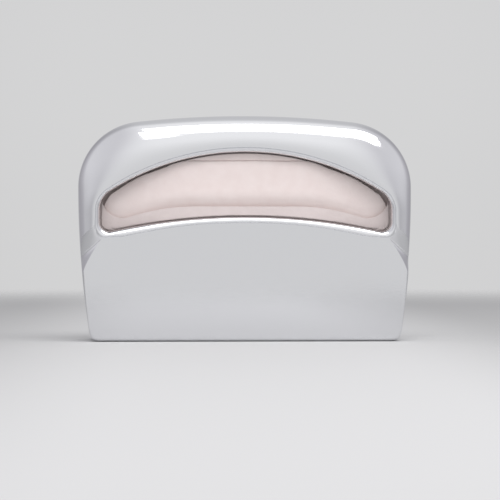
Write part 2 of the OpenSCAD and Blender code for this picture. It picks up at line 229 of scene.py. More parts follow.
def line(a, b, out, n):
    return [((mix(a[0], b[0], i / n), mix(a[1], b[1], i / n)), out) for i in range(n)]


outline_half = (
    arc(crown_c, crown_r, 90, crown_end, RINGS["top"])
    + arc(corner_c, CORNER_R, crown_end, 0, RINGS["corner"])
    + arc(side_c, side_r, 0, side_a, RINGS["end"])
    + arc(side_c, side_r, side_a, side_b, RINGS["side"])
    + arc(side_c, side_r, side_b, side_e, RINGS["lip"])
    + arc(side_c, side_r, side_e, side_d, RINGS["crease"])
    + arc(side_c, side_r, side_d, side_end, RINGS["low"])
    + arc(foot_c, FOOT_R, side_end, -90, RINGS["foot"])
    + line((foot_c[0], -HALF_H), (0, -HALF_H), (0, -1), RINGS["base"])
    + [((0, -HALF_H), (0, -1))])
mouth_half = (
    arc(arch_c, arch_r, 90, arch_mid, RINGS["top"])
    + arc(arch_c, arch_r, arch_mid, arch_end, RINGS["corner"])
    + arc(end_c, END_R, arch_end, 0, RINGS["end"])
    + line((mouth_hw, end_c[1]), (mouth_hw, lip_c[1]), (1, 0), RINGS["side"])
    + arc(lip_c, LIP_R, 0, lip_end, RINGS["lip"])
    + arc(under_c, under_r, under_start, under_a, RINGS["crease"])
    + arc(under_c, under_r, under_a, under_b, RINGS["low"])
    + arc(under_c, under_r, under_b, under_d, RINGS["foot"])
    + arc(under_c, under_r, under_d, 90, RINGS["base"])
    + [((0, lip_top), (0, 1))])

n_grow = RINGS["top"] + RINGS["corner"] + RINGS["end"]
n_grown = n_grow + RINGS["side"] + RINGS["lip"]
sleeve_low, sleeve_high = box_mm("open_sleeve")
stack_low, stack_high = box_mm("folded_covers")
spare_low, spare_high = box_mm("spare_pack")
PACK_HW = sleeve_high[0]
ledge_front = -spare_high[1] - PACK_GAP
ledge_back = ledge_front - LEDGE_LIP_T


def bead_width(i):
    """The bead grows round the mouth's lower corners and shrinks again along the lip."""
    if i < n_grown:
        return mix(BEAD_W, BEAD_END_W, smooth((i - n_grow) / (n_grown - n_grow)))
    share = mouth_half[i][0][0] / mouth_hw
    return mix(BEAD_LOW_W, BEAD_END_W, smooth(share * BEAD_GROWTH - BEAD_START))


def ledge_share(p):
    return 0 if p[1] > foot_c[1] else smooth((PACK_HW + SLOT_MARGIN + SLOT_BLEND - p[0]) / SLOT_BLEND)


def lip_share(p):
    return 0 if p[1] > foot_c[1] else smooth((foot_c[0] + LIP_BLEND - p[0]) / LIP_BLEND)


def roll_part(a, turn, power):
    """Part of a rounded roll's quarter turn, as shares of its width and of its depth."""
    return ((1 - cosd(a) ** power) / (1 - cosd(turn) ** power),
            sind(a) ** power / sind(turn) ** power)


# Points on each stretch of a section
N_ROLL = 26
N_ROLL_IN = 10
N_STEP = 6
N_BEAD = 12
N_LIP = 5

# Finer form than the source's: the face's rise and groove round the hood, the bead's outer step below it
CREASE_SOFT = 0.7
HOOD_PROUD = 1.0
HOOD_CREST = 0.3
HOOD_GROOVE = 0.7
LOW_STEP = 1.4


def section(i, side):
    """One closed section through the cover's wall, as points in millimetres; side is 1 or -1."""
    p, out = outline_half[i]
    q = mouth_half[i][0]
    inwards = (-out[0], -out[1])
    run = clamp01((CREASE_TOP - p[1]) / (CREASE_TOP - CREASE_FOOT))
    ledge = ledge_share(p)
    span = math.dist(p, q)
    along = ((q[0] - p[0]) / span, (q[1] - p[1]) / span)
    bead = bead_width(i)
    roll_w = mix(EDGE_R, span - bead - BEAD_FOOT, (1 - run) ** CREASE_CURVE)
    roll_d = mix(HOOD_D, EDGE_R, smooth(run))
    power = 2 / mix(HOOD_ROUND, 2, smooth(run))
    turn = 90 - CREASE_TURN * sind(180 * run)
    slope = mix(DRAFT, PANEL_DRAFT, smooth(run)) * (1 - ledge)
    rim = mix(RIM_GAP, ledge_back, ledge)
    roll_y = FACE_D - roll_d
    # Round the hood a fine groove parts the face from the bead; below the mouth the bead stands up
    hood = 1 - smooth((i - n_grow) / (n_grown - n_grow))
    face = FACE_D + HOOD_PROUD * hood
    crest = FACE_D + mix(BEAD_H, HOOD_CREST, hood)
    crown = mix(bead - LOW_STEP, BEAD_CROWN, hood)

    def at(base, way, distance, depth):
        return (side * (base[0] + way[0] * distance), -depth, base[1] + way[1] * distance)

    def between(a, b, f, depth):
        return (side * mix(a[0], b[0], f), -depth, mix(a[1], b[1], f))

    start = (p[0] + inwards[0] * slope, p[1] + inwards[1] * slope)
    start_in = (p[0] + inwards[0] * (slope + WALL), p[1] + inwards[1] * (slope + WALL))
    end = (p[0] + along[0] * roll_w, p[1] + along[1] * roll_w)
    points = [at(p, inwards, 0, rim)]
    for j in range(N_ROLL + 1):
        share = roll_part(turn * j / N_ROLL, turn, power)
        points.append(between(start, end, share[0], mix(roll_y, face, share[1])))
    # Narrow bands beside the crease and the bead keep their changes of angle narrow
    flat = span - bead - roll_w
    points.append(at(p, along, roll_w + min(CREASE_SOFT, 0.35 * flat), face))
    points.append(at(p, along, span - bead - min(CREASE_SOFT / 2, 0.3 * flat), face))
    for j in range(N_STEP + 1):
        f = j / N_STEP
        points.append(at(p, along, span - bead + (bead - crown) * f,
                         mix(face, crest, sind(90 * f)) - HOOD_GROOVE * hood * sind(180 * f)))
    for j in range(1, N_BEAD + 1):
        a = 90 * j / N_BEAD
        points.append(at(p, along, span - crown * (1 - sind(a)),
                         mix(FACE_D - LIP_BACK, crest, cosd(a))))
    for j in range(N_LIP + 1):
        a = 90 * j / N_LIP
        points.append(at(p, along, span - crown + (crown - LIP_T) * cosd(a),
                         FACE_D - LIP_BACK + (BEAD_H + LIP_BACK - WALL) * sind(a)))
    points.append(at(p, along, span - bead, FRONT_IN))
    for j in range(N_ROLL_IN, -1, -1):
        share = roll_part(turn * j / N_ROLL_IN, turn, power)
        points.append(between(start_in, end, share[0], roll_y + (roll_d - WALL) * share[1]))
    side_rim = [(WALL, RIM_GAP), (WALL, RIDGE_Y - RIDGE_HALF - RIDGE_SLOPE),
                (WALL + RIDGE_H, RIDGE_Y - RIDGE_HALF), (WALL + RIDGE_H, RIDGE_Y + RIDGE_HALF),
                (WALL, RIDGE_Y + RIDGE_HALF + RIDGE_SLOPE)]
    h = LEDGE_LIP_H * lip_share(p)
    ledge_rim = [(WALL, ledge_back), (WALL + LEDGE_LIP_FLAT * h, ledge_back),
                 (WALL + h, ledge_back + LEDGE_LIP_SLOPE), (WALL + h, ledge_front - LEDGE_LIP_BEVEL),
                 (WALL, ledge_front)]
    for a, b in reversed(list(zip(side_rim, ledge_rim))):
        points.append(at(p, inwards, mix(a[0], b[0], ledge), mix(a[1], b[1], ledge)))
    return points


# Edges that turn by more than this are shaded sharp
SHARP_ANGLE = math.radians(24)
SHARP_SLEEVE = math.radians(50)
SHARP_PAPER = math.radians(60)


def build_mesh(name, points, faces, sharp=SHARP_ANGLE):
    """A smooth-shaded object from points in millimetres, its edges sharp where its faces turn."""
    mesh = bpy.data.meshes.new(name)
    bm = bmesh.new()
    verts = [bm.verts.new(Vector(p) * MM) for p in points]
    for face in faces:
        bm.faces.new([verts[k] for k in face])
    bmesh.ops.recalc_face_normals(bm, faces=bm.faces)
    for face in bm.faces:
        face.smooth = True
    for edge in bm.edges:
        edge.smooth = len(edge.link_faces) == 2 and edge.calc_face_angle(math.pi) < sharp
    bm.to_mesh(mesh)
    bm.free()
    obj = bpy.data.objects.new(name, mesh)
    bpy.context.scene.collection.objects.link(obj)
    return obj


def loft_faces(n, m, first=0, closed=True):
    """Quads of a loft of n closed sections of m points."""
    steps = n if closed else n - 1
    return [(first + i * m + j, first + ((i + 1) % n) * m + j,
             first + ((i + 1) % n) * m + (j + 1) % m, first + i * m + (j + 1) % m)
            for i in range(steps) for j in range(m)]


def add_block(points, faces, low, high):
    """Adds a block between two corners to a mesh's points and faces."""
    k = len(points)
    points += [(x, y, z) for x in (low[0], high[0]) for y in (low[1], high[1]) for z in (low[2], high[2])]
    faces += [tuple(k + c for c in quad) for quad in (
        (0, 1, 3, 2), (4, 6, 7, 5), (0, 4, 5, 1), (2, 3, 7, 6), (0, 2, 6, 4), (1, 5, 7, 3))]


def make_cover():
    """The plated cover: the source's loft with finer rings, and the ribs of its ledge."""
    last = len(outline_half) - 1
    sections = [section(i, 1) for i in range(last + 1)]
    sections += [section(i, -1) for i in range(last - 1, 0, -1)]
    points = [p for s in sections for p in s]
    faces = loft_faces(len(sections), len(sections[0]))
    floor_z = WALL - HALF_H
    pitch = 2 * foot_c[0] / RIBS
    for i in range(RIBS):
        x = (i - (RIBS - 1) / 2) * pitch
        add_block(points, faces, (x - RIB_W / 2, EDGE_R - FACE_D, floor_z - WALL / 2),
                  (x + RIB_W / 2, LEDGE_LIP_T / 2 - ledge_front, floor_z + EDGE_R - WALL))
    return build_mesh("plated_cover", points, faces)


def waves(x, z, scale, seed):
    """Smooth seeded waves between about -1 and 1; scale is their size in millimetres."""
    return noise.noise(Vector((x / scale, z / scale, seed * 7.31)))


BOW = 10
BOW_START = 60


def bow_back(x):
    """How far the fronts of the sleeve and its stack bow back towards their ends."""
    return BOW * smooth((abs(x) - BOW_START) / (PACK_HW - BOW_START))


# The opened sleeve
WINDOW_GAP = 1.4
PAPER_T = 0.35
SLEEVE_CORNER = 12
SLEEVE_FOOT = 4
FOLD = 1.2
window_hw = mouth_hw - WINDOW_GAP
window_z = lip_top + SLEEVE_LAP
window_c = (window_hw - SLEEVE_END_R, window_z - SLEEVE_FALL + SLEEVE_END_R)
shoulder_r = touching_r(window_c[0] - SLEEVE_FLAT, window_z - window_c[1], -SLEEVE_END_R)
window_end = atan2d(window_c[1] - window_z + shoulder_r, window_c[0] - SLEEVE_FLAT)
sleeve_front = -sleeve_low[1]
sleeve_back = -sleeve_high[1]
sleeve_top = sleeve_high[2]
slope_foot = window_c[1] + SLEEVE_END_R / 4


def window_edge(x):
    """Height of the sleeve's cut front edge: straight, then bending down, then up at the window's ends."""
    x = abs(x)
    if x < SLEEVE_FLAT:
        return window_z
    if x < SLEEVE_FLAT + shoulder_r * cosd(window_end):
        return window_z - shoulder_r + math.sqrt(shoulder_r ** 2 - (x - SLEEVE_FLAT) ** 2)
    if x < window_hw:
        return min(slope_foot, window_c[1] - math.sqrt(max(0, SLEEVE_END_R ** 2 - (x - window_c[0]) ** 2)))
    return slope_foot


# Points along half of the sleeve's front and back, and along one side
N_SHEET = 70
N_END = 6
N_END_FINE = 16
N_SIDE = 8
HAIR = 0.01


def sleeve_loop():
    """The sleeve's outline from above, from the front's middle to the right, as (x, depth, top)."""
    front = [window_hw * i / N_SHEET for i in range(N_SHEET - N_END)]
    # The points lie close together where the window's edge turns up at its end
    end_w = window_hw * N_END / N_SHEET
    front += [window_hw - HAIR - end_w * (1 - i / N_END_FINE) ** 2.2 for i in range(1, N_END_FINE + 1)]
    rows = [(x, sleeve_front, window_edge(x)) for x in front + [window_hw]]
    rows += [(mix(window_hw, PACK_HW - FOLD, i / 4), sleeve_front, slope_foot) for i in range(5)]
    rows += [(PACK_HW - FOLD + FOLD * sind(a), sleeve_front - FOLD + FOLD * cosd(a), slope_foot)
             for a in (30, 60)]
    depth = sleeve_front - sleeve_back - 2 * FOLD
    for i in range(N_SIDE + 1):
        f = i / N_SIDE
        rows.append((PACK_HW, sleeve_front - FOLD - depth * f,
                     mix(slope_foot, sleeve_top - SLEEVE_CORNER, f)))
    back = [(PACK_HW - FOLD + FOLD * cosd(a), sleeve_back + FOLD - FOLD * sind(a)) for a in (30, 60, 90)]
    back += [(mix(PACK_HW - FOLD, 0, (i / N_SHEET) ** 1.15), sleeve_back) for i in range(1, N_SHEET + 1)]
    for x, y in back:
        drop = quarter(SLEEVE_CORNER, max(0, x - (PACK_HW - SLEEVE_CORNER)))
        rows.append((x, y, sleeve_top - drop))
    return rows


# Rows of the sleeve's points; LOW_ROWS of them take up LOW_HEIGHT of its height
SLEEVE_ROWS = 64
LOW_ROWS = 0.4
LOW_HEIGHT = 0.84
# How far the sheets are tucked back behind the cover, lifted and rippled
TUCK = 4
TUCK_H = 2.2
TUCK_GAP = 0.2
LIFT = 0.5
RIPPLE = 0.1
# How far from its sides and from its top edges a sheet comes free
FREE_W = 25
FREE_FRONT = 40
FREE_BACK = 30


def lip_edge(x):
    """Height of the mouth's lower edge."""
    x = min(abs(x), mouth_hw)
    if x < under_r * cosd(under_start):
        return under_c[1] + math.sqrt(under_r ** 2 - x * x)
    return lip_c[1] - math.sqrt(max(0, LIP_R ** 2 - (x - lip_c[0]) ** 2))


def side_tuck(x):
    """How far the paper is tucked back behind the mouth's sides."""
    return TUCK * (1 - smooth((mouth_hw - abs(x) - TUCK_GAP) / TUCK_H))


def row_share(k):
    """Height share of a row of the sleeve's points; the rows lie close together near its front edge."""
    f = k / SLEEVE_ROWS
    if f < LOW_ROWS:
        return LOW_HEIGHT * (f / LOW_ROWS) ** 1.1
    return mix(LOW_HEIGHT, 1, (f - LOW_ROWS) / (1 - LOW_ROWS))


def sleeve_point(x, depth, top, v, inset):
    """A point of the sleeve's outer skin at height share v, or of its inner skin where inset > 0."""
    bottom = sleeve_low[2] + inset
    z = mix(bottom, top, v)
    near_foot = max(0, SLEEVE_FOOT - (z - bottom))
    pull = quarter(SLEEVE_FOOT, near_foot)
    free = smooth((PACK_HW - abs(x)) / FREE_W) * smooth(v * 6)
    if depth > sleeve_front - FOLD / 2:
        # The front sheet bows back a little from the cover in long soft waves
        high = smooth((z - top + FREE_FRONT) / FREE_FRONT)
        lift = 0.45 + 0.55 * waves(x, z, 46, 1) + 0.35 * waves(x, z, 19, 2) * high
        depth -= clamp01(lift) * LIFT * free
        # Behind the cover's lip and sides the sheet is tucked back
        low_tuck = TUCK * (1 - smooth((z - lip_edge(x) - TUCK_GAP) / TUCK_H))
        depth -= max(low_tuck, side_tuck(x)) * smooth((PACK_HW - abs(x)) / 5)
    elif depth < sleeve_back + FOLD / 2:
        # The back sheet's top edge ripples behind the stack
        high = smooth((z - sleeve_top + FREE_BACK) / FREE_BACK)
        depth -= RIPPLE * free * clamp01(0.5 + waves(x, z, 60, 3)) * high
    depth -= bow_back(x) * (depth - sleeve_back) / (sleeve_front - sleeve_back)
    x_in = math.copysign(max(0, abs(x) - pull), x) if abs(x) > PACK_HW - SLEEVE_FOOT else x
    return x_in, depth, z


def make_sleeve():
    """The opened pack's paper sleeve, a thin bag whose front is cut down to a curved edge."""
    half = sleeve_loop()
    loop = half + [(-x, y, t) for x, y, t in reversed(half[1:-1])]
    n = len(loop)

    def skin(inset):
        middle_y = (sleeve_front + sleeve_back) / 2
        shrink_x = (PACK_HW - inset) / PACK_HW
        half_y = (sleeve_front - sleeve_back) / 2
        shrink_y = (half_y - inset) / half_y
        layer = []
        for x, y, top in loop:
            for k in range(SLEEVE_ROWS + 1):
                px, depth, z = sleeve_point(x, y, top, row_share(k), inset)
                layer.append((px * shrink_x, -(middle_y + (depth - middle_y) * shrink_y), z))
        return layer

    rows = SLEEVE_ROWS + 1
    points = skin(0) + skin(PAPER_T)
    inner = n * rows
    faces = []
    for i in range(n):
        j = (i + 1) % n
        for k in range(SLEEVE_ROWS):
            a, b = i * rows + k, j * rows + k
            faces.append((a, b, b + 1, a + 1))
            faces.append((inner + a, inner + a + 1, inner + b + 1, inner + b))
        a, b = i * rows + SLEEVE_ROWS, j * rows + SLEEVE_ROWS
        faces.append((a, b, inner + b, inner + a))
    faces.append(tuple(i * rows for i in range(n)))
    faces.append(tuple(inner + i * rows for i in reversed(range(n))))
    return build_mesh("cut_sleeve", points, faces, SHARP_SLEEVE)


# The stack of folded covers: the leaves along its top
LEAVES = 10
LEAF_STEPS = 4
LEAF_RISE = 0.7
LEAF_ROUND = 0.7
LEAF_GAP = 2.5
BACK_SOFT = 1.2
# The short halves' top edge, how far it lies below the mouth's, and where it is flat and crumpled
EDGE_SOFT = 1.0
SHORT_EDGE = 10.6
FLAT_HW = 100
FLAT_BLEND = 17
RUMPLE = 0.7
RUMPLE_X = -18
RUMPLE_HW = 9
# The gap between the paper and the mouth's upper edge
EDGE_GAP = 1.0
NOTCH_START = 88
NOTCH_END = 117
END_GAP = 2.5
END_GAP_START = 128
# The front: where it comes free, its crinkles and curl at the top, its pinch at the sleeve's edge
# and its tuck behind the mouth's lower edge
STACK_FREE = 20
SETTLE_H = 30
CRINKLE = 0.3
CRINKLE_H = 14
CURL = 1.3
CURL_H = 8
PINCH = 4.2
PINCH_H = 13
UNDER = 1.6
UNDER_H = 5
# The step from the short halves to the long ones
UNDERCUT = 2.2
STEP_T = 0.8
STEP_H = 2
LONG_SOFT = 0.6
LENS_MIN = 3
# Points along the stack and on each stretch of its section
STACK_STATIONS = 260
N_FACE = 30
N_LONG = 7
N_BACK = 6
stack_front = -stack_low[1]
stack_back = -stack_high[1]
cover_hw = stack_high[0]


def half_edge(x, top, drop, r):
    """Height of the curved top edge of a cover's half: a broad arch between two rounded corners."""
    x = min(abs(x), cover_hw)
    side = (cover_hw - r, top - drop)
    arch = touching_r(side[0], drop, r)
    if x < arch * cosd(atan2d(side[1] - top + arch, side[0])):
        return top - arch + math.sqrt(arch * arch - x * x)
    return side[1] + math.sqrt(max(0, r * r - (x - side[0]) ** 2))


def mouth_edge(x):
    """Height of the mouth's upper edge."""
    x = min(abs(x), mouth_hw)
    if x < arch_r * cosd(arch_end):
        return arch_c[1] + math.sqrt(arch_r ** 2 - x * x)
    return end_c[1] + math.sqrt(max(0, END_R ** 2 - (x - end_c[0]) ** 2))


def edge_gap(x):
    """The narrow dark gap left between the paper and the mouth's upper edge, with a notch near each end."""
    x = abs(x)
    notch = 1.2 * smooth((x - NOTCH_START) / 10) - 0.8 * smooth((x - NOTCH_END) / 2)
    return EDGE_GAP + notch + 0.15 * waves(x, 1, 13, 23) + END_GAP * smooth((x - END_GAP_START) / 40)


def stack_profile(x):
    """The stack's section at x, as (depth, z): up the short halves, over the long ones, down the back."""
    bottom = stack_low[2]
    top = half_edge(x, stack_high[2], LONG_DROP, LONG_R)
    edge = mouth_edge(x) - edge_gap(x)
    free = smooth((cover_hw - abs(x)) / STACK_FREE)
    middle = 1 - smooth((abs(x) - FLAT_HW) / FLAT_BLEND)
    # The short halves end in a flat edge, crumpled near its middle, and in a rounded shoulder at each end
    rumple = RUMPLE * waves(x, 5, 3.2, 21) * smooth(1.6 - abs(x - RUMPLE_X) / RUMPLE_HW)
    shoulder = half_edge(x, mouth_top - SHORT_FALL, SHORT_DROP, SHORT_R)
    shoulder -= 0.5 * clamp01(0.5 + waves(x, 3, 34, 9))
    flat = mouth_top - SHORT_EDGE + rumple + 0.4 * waves(x, 9, 30, 22)
    short = min(edge, mix(shoulder, max(shoulder, flat), middle))

    def face(z):
        """How far the paper stands back from a flat stack at a height."""
        settle = smooth((z - bottom) / SETTLE_H) * free
        soft = clamp01(0.45 + 0.75 * waves(x, z, 74, 5) + 0.35 * waves(x * 0.5, z, 26, 6))
        high = smooth((z - short + CRINKLE_H) / CRINKLE_H)
        crinkle = CRINKLE * clamp01(waves(x * 1.4, z * 0.5, 11, 12)) * high
        curl = CURL * smooth((z - short + CURL_H) / CURL_H) * mix(0.3, 1, middle)
        # The sleeve's edge holds the covers back, and they swell out above it
        pinch = PINCH * (1 - smooth((z - window_edge(x)) / PINCH_H))
        under = UNDER * (1 - smooth((z - lip_edge(x) - 3) / UNDER_H))
        return settle * (0.2 + 0.8 * soft + crinkle) + (pinch + under) + curl + side_tuck(x)

    points = []
    for k in range(N_FACE + 1):
        z = mix(bottom, short - EDGE_SOFT, (k / N_FACE) ** 0.8)
        points.append((stack_front - face(z), z))
    # The short halves' edge is soft
    crest = stack_front - face(short)
    for a in (25, 50, 75, 100, 125, 155):
        points.append((crest - EDGE_SOFT * (1 - cosd(a)), short - EDGE_SOFT * (1 - sind(a))))
    # The long halves stand behind, undercut where they meet the short halves' edge
    inner_face = crest - STEP_T
    thick = (inner_face - stack_back) / LEAVES
    points.append((inner_face, short - STEP_H))
    front_top = mix(short - STEP_H, min(top, edge), middle)
    lens = max(0, front_top - short)
    shown = clamp01(lens / LENS_MIN)
    for share, rise in ((1, 0), (1, 0.25), (0.5, 0.8), (0.1, 1.5)):
        points.append((inner_face - share * UNDERCUT * shown, short - LONG_SOFT + min(rise, 0.4 * lens)))
    low_z = points[-1][1]
    for k in range(1, N_LONG + 1):
        z = mix(low_z, max(front_top - LONG_SOFT, low_z), k / N_LONG)
        points.append((inner_face + 0.3 * waves(x, z, 31, 13) * shown, z))
    for leaf in range(LEAVES):
        # Each cover's edge stands a little higher or lower than its neighbours
        rise = smooth((leaf - 1) / 4) if leaf else 0
        leaf_top = mix(max(front_top, low_z), top, rise)
        leaf_top -= LEAF_RISE * clamp01(0.5 + waves(x, leaf * 37, 55, 8))
        if leaf == 1:
            leaf_top -= LEAF_GAP
        for s in range(LEAF_STEPS):
            f = (s + 0.5) / LEAF_STEPS
            points.append((inner_face - (leaf + f) * thick,
                           leaf_top - LEAF_ROUND * thick * (1 - sind(180 * f))))
    for k in range(N_BACK + 1):
        points.append((stack_back, mix(top - BACK_SOFT, bottom, k / N_BACK)))
    return [(depth - bow_back(x) * (depth - stack_back) / (stack_front - stack_back), z)
            for depth, z in points]


def make_stack():
    """The folded tissue covers, one closed form with a ridge for each cover along its top."""
    stations = []
    for i in range(STACK_STATIONS + 1):
        u = 2 * i / STACK_STATIONS - 1
        stations.append(cover_hw * 0.9995 * math.copysign(1 - (1 - abs(u)) ** 1.35, u))
    # More of them lie where the short halves' edge is crumpled
    stations += [RUMPLE_X - RUMPLE_HW + 0.5 * i for i in range(4 * RUMPLE_HW + 1)]
    stations.sort()
    points = []
    for x in stations:
        points += [(x, -depth, z) for depth, z in stack_profile(x)]
    m = len(points) // len(stations)
    faces = loft_faces(len(stations), m, closed=False)
    faces.append(tuple(range(m)))
    faces.append(tuple(reversed(range(len(points) - m, len(points)))))
    return build_mesh("folded_tissue", points, faces, SHARP_PAPER)


# The sealed spare pack
SPARE_EDGE = 4
SPARE_PULL = 3
SPARE_CORNER = 12
SPARE_SINK = 0.45
N_SPARE = 120


def make_spare():
    """The spare pack: a soft-edged wrapped block, tight at its ends and round at its upper corners."""
    middle = [(a + b) / 2 for a, b in zip(spare_low, spare_high)]
    half = [(b - a) / 2 for a, b in zip(spare_low, spare_high)]
    edge = SPARE_EDGE
    around = []
    for cx, cz, a0 in ((1, 1, 0), (-1, 1, 90), (-1, -1, 180), (1, -1, 270)):
        for k in range(9):
            a = a0 + 90 * k / 8
            around.append((cx * (half[1] - edge) + edge * cosd(a), cz * (half[2] - edge) + edge * sind(a)))
    ring = []
    for k, (y, z) in enumerate(around):
        y2, z2 = around[(k + 1) % len(around)]
        steps = 24 if abs(z2 - z) > edge else (6 if abs(y2 - y) > edge else 1)
        ring += [(mix(y, y2, s / steps), mix(z, z2, s / steps)) for s in range(steps)]
    points = []
    for i in range(N_SPARE + 1):
        u = 2 * i / N_SPARE - 1
        x = half[0] * math.copysign(1 - (1 - abs(u)) ** 1.3, u)
        pull = quarter(SPARE_PULL, max(0, abs(x) - half[0] + SPARE_PULL))
        for y, z in ring:
            corner = max(0, abs(x) - half[0] + SPARE_CORNER) if z > half[2] - SPARE_CORNER else 0
            round_top = quarter(SPARE_CORNER, corner)
            sink = SPARE_SINK * clamp01(0.5 + waves(x, z, 50, 11)) + pull
            sy = math.copysign(max(0, abs(y) - sink), y)
            sz = min(z, half[2] - round_top) if z > 0 else z
            points.append((middle[0] + x, middle[1] + sy, middle[2] + sz * (1 - pull / half[2])))
    m = len(ring)
    faces = loft_faces(N_SPARE + 1, m, closed=False)
    faces.append(tuple(range(m)))
    faces.append(tuple(reversed(range(N_SPARE * m, (N_SPARE + 1) * m))))
    return build_mesh("wrapped_pack", points, faces, SHARP_PAPER)


# Materials
def new_material(name, color, roughness, metallic=0.0):
    material = bpy.data.materials.new(name)
    material.use_nodes = True
    shader = material.node_tree.nodes["Principled BSDF"]
    shader.inputs["Base Color"].default_value = (*color, 1)
    shader.inputs["Roughness"].default_value = roughness
    shader.inputs["Metallic"].default_value = metallic
    return material, material.node_tree, shader


def add_noise(tree, scale, detail=2.0, stretch=(1, 1, 1)):
    """A noise texture in the object's own metres; returns its value socket."""
    coordinates = tree.nodes.new("ShaderNodeTexCoord")
    mapping = tree.nodes.new("ShaderNodeMapping")
    mapping.inputs["Scale"].default_value = stretch
    texture = tree.nodes.new("ShaderNodeTexNoise")
    texture.inputs["Scale"].default_value = scale
    texture.inputs["Detail"].default_value = detail
    tree.links.new(coordinates.outputs["Object"], mapping.inputs["Vector"])
    tree.links.new(mapping.outputs["Vector"], texture.inputs["Vector"])
    return texture.outputs["Fac"]


def add_range(tree, value, low, high):
    """Maps a noise value to a range."""
    node = tree.nodes.new("ShaderNodeMapRange")
    node.inputs["From Min"].default_value = 0.3
    node.inputs["From Max"].default_value = 0.7
    node.inputs["To Min"].default_value = low
    node.inputs["To Max"].default_value = high
    tree.links.new(value, node.inputs["Value"])
    return node.outputs["Result"]


def add_tint(tree, value, light, dark):
    """Mixes two colours by a noise value."""
    node = tree.nodes.new("ShaderNodeMix")
    node.data_type = "RGBA"
    node.inputs["A"].default_value = (*dark, 1)
    node.inputs["B"].default_value = (*light, 1)
    tree.links.new(add_range(tree, value, 0, 1), node.inputs["Factor"])
    return node.outputs["Result"]


def add_bump(tree, value, distance, strength, below=None):
    node = tree.nodes.new("ShaderNodeBump")
    node.inputs["Distance"].default_value = distance
    node.inputs["Strength"].default_value = strength
    tree.links.new(value, node.inputs["Height"])
    if below:
        tree.links.new(below, node.inputs["Normal"])
    return node.outputs["Normal"]


def chrome_material():
    """Bright decorative plating on a moulded shell: nearly a mirror, with the mould's faint waviness."""
    material, tree, shader = new_material("chrome_plating", (0.80, 0.805, 0.825), 0.07, 1.0)
    tree.links.new(add_range(tree, add_noise(tree, 9, 3), 0.055, 0.105), shader.inputs["Roughness"])
    wavy = add_bump(tree, add_noise(tree, 7, 1), 0.0006, 0.35)
    peel = add_bump(tree, add_noise(tree, 420, 2), 0.00002, 0.3, wavy)
    tree.links.new(peel, shader.inputs["Normal"])
    return material


def paper_material(name, light, dark, roughness, fibre, grain):
    """Soft uncoated paper: cloudy formation, short fibres and a dull surface."""
    material, tree, shader = new_material(name, light, roughness)
    tree.links.new(add_tint(tree, add_noise(tree, grain, 4), light, dark), shader.inputs["Base Color"])
    cloudy = add_bump(tree, add_noise(tree, grain * 1.7, 3), 0.0006, 0.25)
    fibres = add_bump(tree, add_noise(tree, fibre, 3, (1, 1, 0.35)), 0.00008, 0.5, cloudy)
    tree.links.new(fibres, shader.inputs["Normal"])
    shader.inputs["Specular IOR Level"].default_value = 0.2
    shader.inputs["Sheen Weight"].default_value = 0.12
    return material


def plastic_material():
    """The wall plate's grey moulded plastic, finely sparked, with flow marks."""
    material, tree, shader = new_material("plate_plastic", (0.42, 0.43, 0.44), 0.5)
    tree.links.new(add_tint(tree, add_noise(tree, 14, 2), (0.43, 0.44, 0.45), (0.40, 0.41, 0.42)),
                   shader.inputs["Base Color"])
    tree.links.new(add_range(tree, add_noise(tree, 30, 3), 0.42, 0.58), shader.inputs["Roughness"])
    tree.links.new(add_bump(tree, add_noise(tree, 1500, 2), 0.00006, 0.4), shader.inputs["Normal"])
    return material


chrome = chrome_material()
sleeve_paper = paper_material("sleeve_paper", (0.84, 0.745, 0.725), (0.80, 0.705, 0.685), 0.82, 1500, 90)
tissue = paper_material("tissue", (0.985, 0.875, 0.845), (0.95, 0.83, 0.80), 0.92, 1100, 70)
plastic = plastic_material()


def dress(piece, node, material):
    piece.data.materials.append(material)
    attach(piece, "root")
    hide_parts(node)


dress(make_cover(), "front_cover", chrome)
dress(make_sleeve(), "open_sleeve", sleeve_paper)
dress(make_stack(), "folded_covers", tissue)
dress(make_spare(), "spare_pack", sleeve_paper)
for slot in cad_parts["back_plate"].material_slots:
    slot.material = plastic

# Floor, in metres
FLOOR_R = 3.2
FLOOR_FADE = (1.3, 3.0)
FLOOR_GREY = 0.65
# The floor's grey at its sides, painted darker as painted shade
PAINTED_SIDE_SHADE_GREY = 0.48
SIDE_SPAN = (0.12, 0.42)
floor_mesh = bpy.data.meshes.new("floor")
bm = bmesh.new()
bmesh.ops.create_circle(bm, cap_ends=True, segments=128, radius=FLOOR_R)
bm.to_mesh(floor_mesh)
bm.free()
floor = bpy.data.objects.new("floor", floor_mesh)
floor.location = (0, 0, cad_box[0][2])
bpy.context.scene.collection.objects.link(floor)
floor_paint, floor_tree, floor_shader = new_material("floor_paint", (FLOOR_GREY,) * 3, 0.9)
floor_shader.inputs["Specular IOR Level"].default_value = 0.0
floor_mesh.materials.append(floor_paint)
floor_point = floor_tree.nodes.new("ShaderNodeTexCoord")


def add_fade(value, span, ends):
    """A smooth change of a floor value between two ends over a span in metres."""
    node = floor_tree.nodes.new("ShaderNodeMapRange")
    node.interpolation_type = "SMOOTHSTEP"
    node.inputs["From Min"].default_value, node.inputs["From Max"].default_value = span
    node.inputs["To Min"].default_value, node.inputs["To Max"].default_value = ends
    floor_tree.links.new(value, node.inputs["Value"])
    return node.outputs["Result"]


# The floor is palest in line with the object and painted a little darker to both sides: painted shade
# standing in for the room's dimmer light there
floor_parts = floor_tree.nodes.new("ShaderNodeSeparateXYZ")
floor_side = floor_tree.nodes.new("ShaderNodeMath")
floor_side.operation = "ABSOLUTE"
floor_tree.links.new(floor_point.outputs["Object"], floor_parts.inputs["Vector"])
floor_tree.links.new(floor_parts.outputs["X"], floor_side.inputs[0])
floor_tree.links.new(add_fade(floor_side.outputs[0], SIDE_SPAN, (FLOOR_GREY, PAINTED_SIDE_SHADE_GREY)),
                     floor_shader.inputs["Base Color"])
